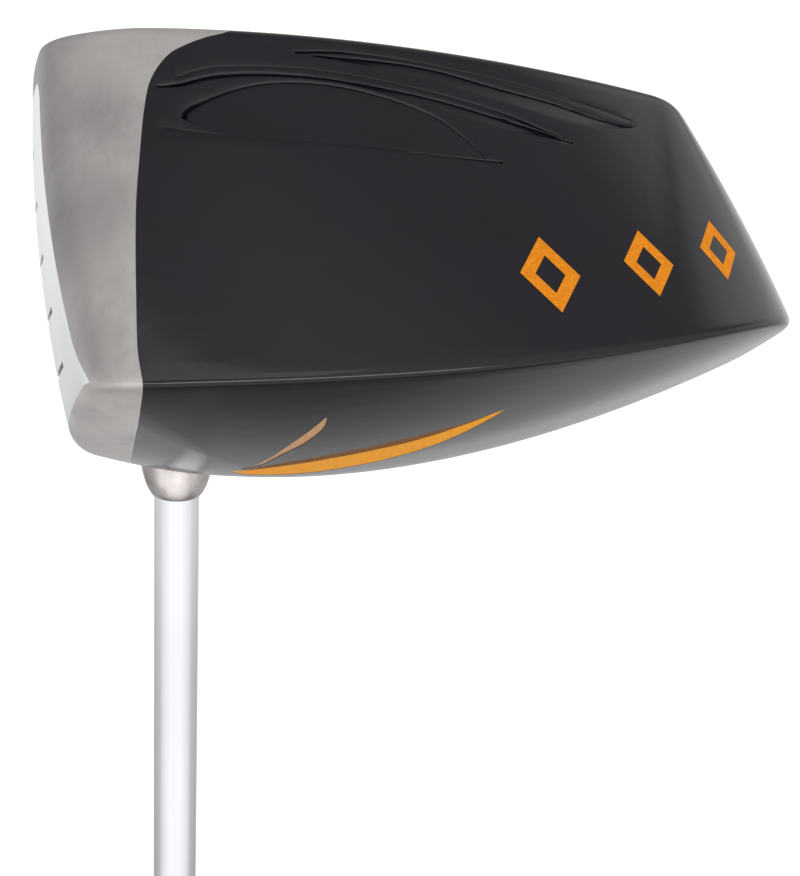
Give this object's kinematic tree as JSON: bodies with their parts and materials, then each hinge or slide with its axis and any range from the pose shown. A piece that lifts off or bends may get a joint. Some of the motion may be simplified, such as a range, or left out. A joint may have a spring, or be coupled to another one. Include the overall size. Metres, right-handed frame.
{
  "type": "golf driver",
  "caption": "Right-handed golf driver with a squared-back hollow black head, bare satin metal front, orange crown slashes, stepped chrome steel shaft and black rubber grip.",
  "frame": {"origin": "centre of the butt end of the grip, on the shaft line", "axes": "+Z along the shaft line from the butt of the grip to the head, -X the way the face looks, -Y and +Z together the way the toe points"},
  "size_m": [0.1233, 0.1098, 1.167],
  "materials": {
    "face_metal": "satin, finely blasted",
    "satin_metal": "satin, fine brushed grain",
    "hosel_metal": "polished satin",
    "black_paint": "gloss",
    "orange_paint": "gloss with metal flake",
    "cast_metal": "as cast",
    "glue": "soft satin",
    "chrome_steel": "bright chrome",
    "brass": "bare",
    "tape": "matt",
    "grip_rubber": "matt"
  },
  "bodies": {
    "root": {"face_plate": "face_metal", "front_cup": "satin_metal", "crown_shell": "black_paint", "skirt_shell": "black_paint", "sole_plate": "satin_metal", "slash_inlay_long": "orange_paint", "slash_inlay_short": "orange_paint", "hosel_tube": "hosel_metal", "hosel_brace": "cast_metal", "heel_weight": "cast_metal", "toe_weight": "cast_metal", "rear_weight": "cast_metal", "sole_rib_1": "cast_metal", "sole_rib_2": "cast_metal", "sole_rib_3": "cast_metal", "hot_melt_pad": "glue", "shaft_tube": "chrome_steel", "tip_plug": "brass", "grip_tape": "tape", "grip_sleeve": "grip_rubber", "grip_end_cap": "grip_rubber"}
  },
  "joints": []
}
